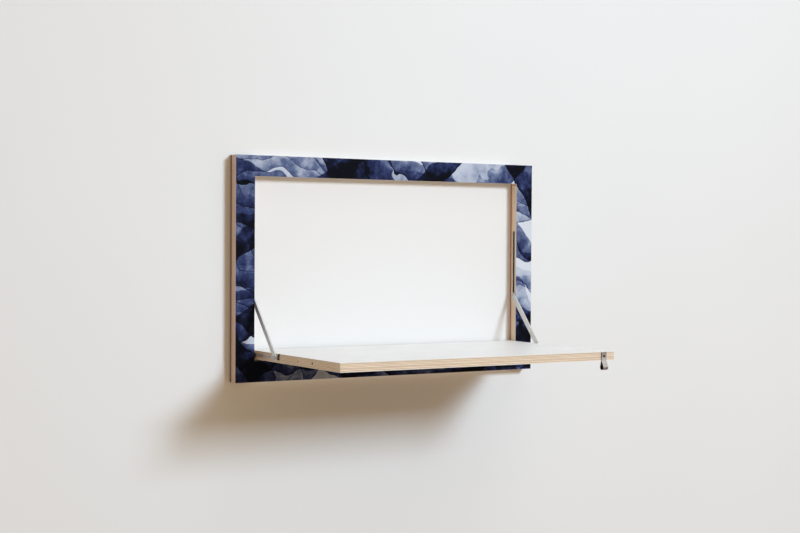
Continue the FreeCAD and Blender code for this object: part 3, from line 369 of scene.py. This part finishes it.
def plated_steel(name, shades, roughness):
    """Plated or ground steel with fine cloudy wear, between a darker and a lighter swatch."""
    finish, tree, shader = new_finish(name)
    coords = add_node(tree, "TexCoord")
    wear = noise(tree, coords.outputs["Object"], WEAR_SCALE, detail=4.0, roughness=0.6)
    tree.links.new(mottled(tree, wear, shades), shader.inputs["Base Color"])
    shader.inputs["Metallic"].default_value = 1.0
    worn = spread(tree, wear, (roughness - POLISH, roughness + DULLING))
    tree.links.new(worn, shader.inputs["Roughness"])
    grit = noise(tree, coords.outputs["Object"], GRIT_SCALE)
    bump(tree, shader, grit, GRIT_DEPTH)
    return finish


def both(*stems):
    """The names of the left and the right piece of each pair."""
    return [f"{stem}_{side}" for stem in stems for side in ("left", "right")]


batten_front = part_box("top_batten")[0].y
finished_with(plywood("birch_batten", batten_front, core_thickness), "top_batten", "bottom_batten")
zinc = plated_steel("zinc_plating", ZINC, ZINC_ROUGHNESS)
finished_with(zinc, "batten_screws", "hanger_screws", *both("hanger_plate"))


# Side battens and back panel: strips of bare brown hardboard glued behind the stiles, whose edges towards the
# opening carry painted light, lightened to stand in for the light the white panel throws on them. They are
# rebated for a 4 mm sheet of the same board, painted white, that closes it.
HARDBOARD = ((100, 64, 38), (134, 91, 58))
HARDBOARD_ROUGHNESS = 0.55
FIBRE_SCALE = 700.0
FIBRE_DEPTH = 0.00004
LIP_PAINTED_LIGHT = 2.5
PALE_DEPTH = 0.0004
PANEL_PAINT = (232, 230, 228)


def hardboard(name, paint=None, painted_light_within=0.0):
    """Brown pressed fibre, painted on both faces of a sheet if a swatch is given.

    It gets painted light, a paler colour, at less than the given distance from the desk's middle.
    """
    finish, tree, shader = new_finish(name)
    coords = add_node(tree, "TexCoord")
    fibre = noise(tree, coords.outputs["Object"], FIBRE_SCALE, detail=4.0, roughness=0.65)
    board = mottled(tree, fibre, HARDBOARD)
    # painted light on the strips' edges towards the opening
    if painted_light_within:
        split = add_node(tree, "SeparateXYZ", {"Vector": coords.outputs["Object"]})
        pale = calc(tree, "LESS_THAN", calc(tree, "ABSOLUTE", split.outputs["X"]), painted_light_within)
        board = mixed(tree, pale, board, (LIP_PAINTED_LIGHT, LIP_PAINTED_LIGHT, LIP_PAINTED_LIGHT, 1.0), "MULTIPLY")
    if paint:
        painted = facing(tree, coords.outputs["Normal"], "Y")
        board = mixed(tree, painted, board, swatch(*paint))
    tree.links.new(board, shader.inputs["Base Color"])
    shader.inputs["Roughness"].default_value = HARDBOARD_ROUGHNESS
    bump(tree, shader, fibre, FIBRE_DEPTH)
    return finish


inner_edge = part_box("side_batten_right")[0].x
finished_with(hardboard("brown_hardboard", painted_light_within=inner_edge + PALE_DEPTH), *both("side_batten"))
finished_with(hardboard("white_faced_hardboard", PANEL_PAINT), "back_panel")


# Guide rails: pressed trays let into the stiles' inner edges, each held by two small screws, with the black
# nylon shoe that carries the stay's upper pin. The leaf's pivots turn in bushes of the same nylon.
NYLON = ((24, 24, 25), (36, 36, 37))
NYLON_CLOUD_SCALE = 220.0
NYLON_GRAIN_SCALE = 2600.0
NYLON_GRAIN_DEPTH = 0.00004
NYLON_ROUGHNESS = (0.46, 0.6)
finished_with(zinc, *both("guide_rail", "guide_rail_screws"))
nylon = pressed_plastic("black_nylon", NYLON, NYLON_CLOUD_SCALE, NYLON_GRAIN_SCALE, NYLON_GRAIN_DEPTH,
                        NYLON_ROUGHNESS)
finished_with(nylon, *both("slide_shoe", "pivot_bush"))


# Catch magnet: a nickel-plated disc pressed into the top rail, which holds the pull loop's plate when the
# leaf is shut.
NICKEL = ((184, 181, 174), (206, 203, 197))
NICKEL_ROUGHNESS = 0.2
finished_with(plated_steel("nickel_plating", NICKEL, NICKEL_ROUGHNESS), "catch_magnet")


# Leaf: the board cut from the frame's opening, white above and printed below. Shut, it fills the opening
# again, so its veneers and its print are those of the frame, carried round the pivot. Its grooves and holes
# get a painted shade inside, darkened to stand in for the shade in them.
ROUTED_DEPTH = 0.0008
# painted shade in the leaf's grooves and holes
RECESS_PAINTED_SHADE = 0.1
fold = next(joint for joint in frame["joints"] if joint["name"] == "leaf_fold")
pivot_y, pivot_z = fold["pos_m"][1:]
shut_turn = -math.radians(fold["range_deg"][1])
shut_shift = (0, pivot_y - pivot_z, pivot_z + pivot_y)
leaf_cuts = (leaf_high.x - ROUTED_DEPTH, core_middle, leaf_half - ROUTED_DEPTH)
leaf_birch = plywood("birch_leaf_edge", core_low.y, core_thickness, shut_turn, shut_shift, leaf_cuts,
                     RECESS_PAINTED_SHADE)
finished_with(leaf_birch, "leaf_core")
finished_with(ink_print("indigo_wave_print_leaf", shut_turn, shut_shift), "leaf_under_sheet")
finished_with(desk_white, "leaf_top_sheet")


# Hinge arms and stays: flat steel, ground along its length. An arm lies in a groove in each end of the leaf,
# and a stay runs from its outer pin up to the shoe in the guide rail; the pins are turned steel.
BRUSH_LENGTH = 0.05
BRUSH_WIDTH = 0.0004
BRUSH_DEPTH = 0.00002
BRUSH_DULLING = 0.08
BRUSH_SHARE = 0.6
HANDLING_SCALE = 60.0
ARM_STEEL = ((206, 196, 194), (230, 221, 219))
ARM_ROUGHNESS = 0.5
ARM_BARE_SHARE = 0.6
STAY_STEEL = ((204, 203, 201), (230, 229, 228))
STAY_ROUGHNESS = 0.58
PIN_STEEL = ((170, 169, 168), (200, 199, 198))
PIN_ROUGHNESS = 0.3


def brushed_steel(name, shades, roughness, turn=0.0, bare_share=1.0):
    """Steel ground along Y, once turned about X; bare_share is less than 1 where grime dulls it."""
    finish, tree, shader = new_finish(name)
    coords = add_node(tree, "TexCoord")
    place = moved(tree, coords.outputs["Object"], turn)
    brushed = moved(tree, place, scale=(1 / BRUSH_WIDTH, 1 / BRUSH_LENGTH, 1 / BRUSH_WIDTH))
    streak = noise(tree, brushed, detail=3.0, roughness=0.6)
    cloud = noise(tree, coords.outputs["Object"], HANDLING_SCALE, detail=3.0)
    ground = calc(tree, "MULTIPLY", streak, BRUSH_SHARE)
    handled = calc(tree, "MULTIPLY", cloud, 1 - BRUSH_SHARE)
    metal = mottled(tree, calc(tree, "ADD", ground, handled), shades)
    tree.links.new(metal, shader.inputs["Base Color"])
    shader.inputs["Metallic"].default_value = bare_share
    dulled = spread(tree, streak, (roughness - BRUSH_DULLING, roughness + BRUSH_DULLING))
    tree.links.new(dulled, shader.inputs["Roughness"])
    bump(tree, shader, streak, BRUSH_DEPTH)
    return finish


arm_steel = brushed_steel("ground_arm_steel", ARM_STEEL, ARM_ROUGHNESS, bare_share=ARM_BARE_SHARE)
finished_with(arm_steel, *both("hinge_arm"))
finished_with(zinc, *both("hinge_arm_screws"))
swing = next(joint for joint in frame["joints"] if joint["name"] == "stay_left_swing")
stay_foot_y, stay_foot_z = swing["pos_m"][1:]
pin_low, pin_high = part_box("slide_pin_left")
shoe_pin = (pin_low + pin_high) / 2
stay_lean = math.atan2(shoe_pin.z - stay_foot_z, shoe_pin.y - stay_foot_y)
finished_with(brushed_steel("ground_stay_steel", STAY_STEEL, STAY_ROUGHNESS, -stay_lean), *both("stay_bar"))
pin_steel = plated_steel("turned_pin_steel", PIN_STEEL, PIN_ROUGHNESS)
finished_with(pin_steel, *both("stay_rivet", "stay_pin", "pivot_pin", "slide_pin"))


# Pull loop: a strip of spring steel, doubled where it is screwed to the leaf's front edge and bent round in a
# drop below it. Its steel is darkened by a painted shade for the dark room its face reflects. The strip
# follows its bent path as a ribbon, then gets its thickness with a painted shade on the inside, and its edges
# are broken.
STRIP_THICKNESS = 0.001
STRIP_EASE = 0.00022
KNEE_BELOW = 0.0003
BEND_STEPS = 36
# painted shade: the strip's steel is darkened to stand in for the dark room it reflects
SPRING_STEEL_PAINTED_SHADE = ((113, 102, 95), (147, 135, 127))
SPRING_ROUGHNESS = 0.46
# painted shade: near black inside the loop, where no light reaches
LOOP_INSIDE_PAINTED_SHADE = ((20, 19, 19), (32, 30, 30))
LOOP_INSIDE_ROUGHNESS = 0.5
# painted shade: the screw is darkened to stand in for the shade in its recess in the plate
SCREW_PAINTED_SHADE = ((70, 66, 62), (96, 90, 85))
SCREW_ROUGHNESS = 0.4
loop_low, loop_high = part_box("pull_loop")
loop_middle = (loop_low + loop_high) / 2
half_strip = STRIP_THICKNESS / 2
rear_y = leaf_low.y - half_strip
front_y = rear_y - STRIP_THICKNESS
knee_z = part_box("leaf_under_sheet")[0].z - KNEE_BELOW
bend_radius = (loop_high.y - loop_low.y) / 2 - half_strip
bend_middle = Vector((loop_middle.y, loop_low.z + half_strip + bend_radius))


def leg_angle(knee_y, turn):
    """The angle on the bend at which a straight leg from a knee touches it, behind for -1, in front for 1."""
    away = Vector((knee_y, knee_z)) - bend_middle
    return math.atan2(away.y, away.x) + turn * math.acos(bend_radius / away.length)


rear_angle = leg_angle(rear_y, -1)
bend_sweep = leg_angle(front_y, 1) - rear_angle - math.tau
strip_path = [(rear_y, loop_high.z), (rear_y, knee_z)]
for step in range(BEND_STEPS + 1):
    angle = rear_angle + bend_sweep * step / BEND_STEPS
    bend_y = bend_middle.x + bend_radius * math.cos(angle)
    bend_z = bend_middle.y + bend_radius * math.sin(angle)
    strip_path.append((bend_y, bend_z))
strip_path += [(front_y, knee_z), (front_y, loop_high.z)]
ribbon = bpy.data.curves.new("pull_strip", "CURVE")
ribbon.dimensions = "2D"
ribbon.extrude = (loop_high.x - loop_low.x) / 2
bend = ribbon.splines.new("POLY")
bend.points.add(len(strip_path) - 1)
for point, (along_y, along_z) in zip(bend.points, strip_path):
    point.co = (along_y, along_z, 0, 1)
strip = bpy.data.objects.new("pull_strip", ribbon)
bpy.context.scene.collection.objects.link(strip)
# the ribbon was drawn flat, so its own X, Y and Z become the desk's Y, Z and X
strip.matrix_world = Matrix(((0, 0, 1, loop_middle.x), (1, 0, 0, 0), (0, 1, 0, 0), (0, 0, 0, 1)))
bpy.ops.object.select_all(action="DESELECT")
strip.select_set(True)
bpy.context.view_layer.objects.active = strip
bpy.ops.object.convert(target="MESH")
bpy.ops.object.transform_apply(location=True, rotation=True, scale=True)
strip.data.materials.append(plated_steel("spring_steel_painted_shade", SPRING_STEEL_PAINTED_SHADE, SPRING_ROUGHNESS))
strip.data.materials.append(plated_steel("loop_inside_painted_shade", LOOP_INSIDE_PAINTED_SHADE, LOOP_INSIDE_ROUGHNESS))
bpy.ops.object.shade_smooth()
shell = strip.modifiers.new("thickness", "SOLIDIFY")
shell.thickness = STRIP_THICKNESS
shell.offset = 0.0
# the offset faces, inside the loop, get the painted shade
shell.material_offset = 1
ease = strip.modifiers.new("broken_edges", "BEVEL")
ease.width = STRIP_EASE
ease.segments = 2
ease.harden_normals = True
bpy.ops.object.modifier_apply(modifier="thickness")
bpy.ops.object.modifier_apply(modifier="broken_edges")
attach(strip, "leaf")
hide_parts("pull_loop")
finished_with(plated_steel("screw_steel_painted_shade", SCREW_PAINTED_SHADE, SCREW_ROUGHNESS), "pull_loop_screw")


# Studio: a pale painted wall that the desk hangs on, and a pale floor a desk's height below it. Both are
# clear from behind, so that the desk can be seen from there.
WALL_WIDTH = 14.0
WALL_HEIGHT = 6.0
WALL_GAP = 0.0004
WALL_PAINT = ((233, 234, 235), (235, 236, 237))
WALL_CLOUD_SCALE = 1.5
WALL_ROUGHNESS = 0.9
WALL_GLOSS = 0.1
DESK_HEIGHT = 0.73
FLOOR_PAINT = ((221, 221, 221), (226, 226, 226))
FLOOR_CLOUD_SCALE = 0.8
FLOOR_ROUGHNESS = 0.7
FLOOR_GLOW = (0.16, 0.18, 0.20, 1.0)
floor_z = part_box("leaf_top_sheet")[1].z - DESK_HEIGHT


def studio_paint(name, shades, roughness, cloud_scale, cloud_detail=2.0):
    """Matt paint that is clear from behind, and its shader."""
    finish, tree, shader = new_finish(name)
    coords = add_node(tree, "TexCoord")
    cloud = noise(tree, coords.outputs["Object"], cloud_scale, cloud_detail)
    tree.links.new(mottled(tree, cloud, shades), shader.inputs["Base Color"])
    shader.inputs["Roughness"].default_value = roughness
    behind = add_node(tree, "NewGeometry").outputs["Backfacing"]
    clear = add_node(tree, "BsdfTransparent").outputs[0]
    one_sided = add_node(tree, "MixShader", {0: behind, 1: shader.outputs[0], 2: clear}).outputs[0]
    tree.links.new(one_sided, tree.nodes["Material Output"].inputs["Surface"])
    return finish, shader


def studio_plane(name, width, depth, location, rotation, finish):
    """A flat piece of the studio, with its place in its mesh."""
    bpy.ops.object.select_all(action="DESELECT")
    bpy.ops.mesh.primitive_plane_add(size=1, location=location, rotation=rotation)
    plane = bpy.context.object
    plane.name = name
    plane.scale = (width, depth, 1)
    bpy.ops.object.transform_apply(location=True, rotation=True, scale=True)
    plane.data.materials.append(finish)
    return plane


wall_paint, shader = studio_paint("wall_paint", WALL_PAINT, WALL_ROUGHNESS, WALL_CLOUD_SCALE)
shader.inputs["Specular IOR Level"].default_value = WALL_GLOSS
wall = studio_plane("wall", WALL_WIDTH, WALL_HEIGHT, (0, WALL_GAP, floor_z + WALL_HEIGHT / 2),
                    (math.radians(90), 0, 0), wall_paint)
wall.visible_shadow = False
floor_paint, shader = studio_paint("floor_paint", FLOOR_PAINT, FLOOR_ROUGHNESS, FLOOR_CLOUD_SCALE,
                                   cloud_detail=3.0)
shader.inputs["Emission Color"].default_value = FLOOR_GLOW
shader.inputs["Emission Strength"].default_value = 1.0
floor = studio_plane("floor", WALL_WIDTH, WALL_WIDTH, (0, 0, floor_z), (0, 0, 0), floor_paint)
floor.visible_diffuse = False
floor.visible_shadow = False


# Light: a large soft window light from the upper right, a cool ceiling light, and a warm dim room that fills
# the shadows. A weak light behind shows the desk's back.
KEY_OFFSET = (4.5, -9.0, 4.05)
KEY_SIZE = 2.6
KEY_SPREAD = 75.0
KEY_POWER = 162.0
KEY_COLOUR = (0.715, 0.86, 1.0)
CEILING_OFFSET = (0.5, -0.7, 2.4)
CEILING_SIZE = 1.6
CEILING_POWER = 12.0
CEILING_COLOUR = (0.72, 0.8, 0.95)
BACK_OFFSET = (0.0, 4.0, 0.6)
BACK_SIZE = 2.5
BACK_POWER = 60.0
BACK_COLOUR = (1.0, 1.0, 1.0)
# the room's light from below, level and above, by its place on a scale from straight down to straight up
ROOM_LIGHT = (
    (0.25, (0.49, 0.36, 0.24, 1.0)),
    (0.5, (0.46, 0.33, 0.20, 1.0)),
    (0.75, (0.40, 0.31, 0.20, 1.0)),
)
ROOM_SEEN = (0.80, 0.80, 0.79, 1.0)
cad_middle = (cad_box[0] + cad_box[1]) / 2


def studio_light(name, offset, size, power, colour, spread_angle=180.0):
    """A square area light that faces the desk's middle from an offset."""
    lamp = bpy.data.lights.new(name, "AREA")
    lamp.size = size
    lamp.energy = power
    lamp.color = colour
    lamp.spread = math.radians(spread_angle)
    light = bpy.data.objects.new(name, lamp)
    light.location = cad_middle + Vector(offset)
    light.rotation_euler = (-Vector(offset)).to_track_quat("-Z", "Y").to_euler()
    bpy.context.scene.collection.objects.link(light)


studio_light("window_light", KEY_OFFSET, KEY_SIZE, KEY_POWER, KEY_COLOUR, KEY_SPREAD)
studio_light("ceiling_light", CEILING_OFFSET, CEILING_SIZE, CEILING_POWER, CEILING_COLOUR)
studio_light("back_light", BACK_OFFSET, BACK_SIZE, BACK_POWER, BACK_COLOUR)
world = bpy.data.worlds.new("room")
world.use_nodes = True
bpy.context.scene.world = world
tree = world.node_tree
sky = add_node(tree, "SeparateXYZ", {"Vector": add_node(tree, "TexCoord").outputs["Generated"]})
room = ramp(tree, spread(tree, sky.outputs["Z"], (0.0, 1.0), (-1.0, 1.0)), ROOM_LIGHT)
seen = add_node(tree, "LightPath").outputs["Is Camera Ray"]
tree.links.new(mixed(tree, seen, room, ROOM_SEEN), tree.nodes["Background"].inputs["Color"])


# Camera: the photograph's place and lens, fitted to the edges of the frame and the leaf, left of the desk and
# a little above it.
CAMERA_PLACE = (-1.7954, -2.9943, -0.1614)
CAMERA_YAW = 31.484
CAMERA_PITCH = -1.023
CAMERA_ROLL = 0.339
CAMERA_LENS = 67.138
SENSOR_WIDTH = 36.0
camera_data = bpy.data.cameras.new("camera")
camera_data.lens = CAMERA_LENS
camera_data.sensor_width = SENSOR_WIDTH
camera = bpy.data.objects.new("camera", camera_data)
camera.location = CAMERA_PLACE
aim = Euler((math.radians(90 + CAMERA_PITCH), 0, -math.radians(CAMERA_YAW))).to_matrix()
camera.rotation_euler = (aim @ Matrix.Rotation(math.radians(CAMERA_ROLL), 3, "Z")).to_euler()
bpy.context.scene.collection.objects.link(camera)
bpy.context.scene.camera = camera
bpy.context.scene.view_settings.view_transform = "Standard"
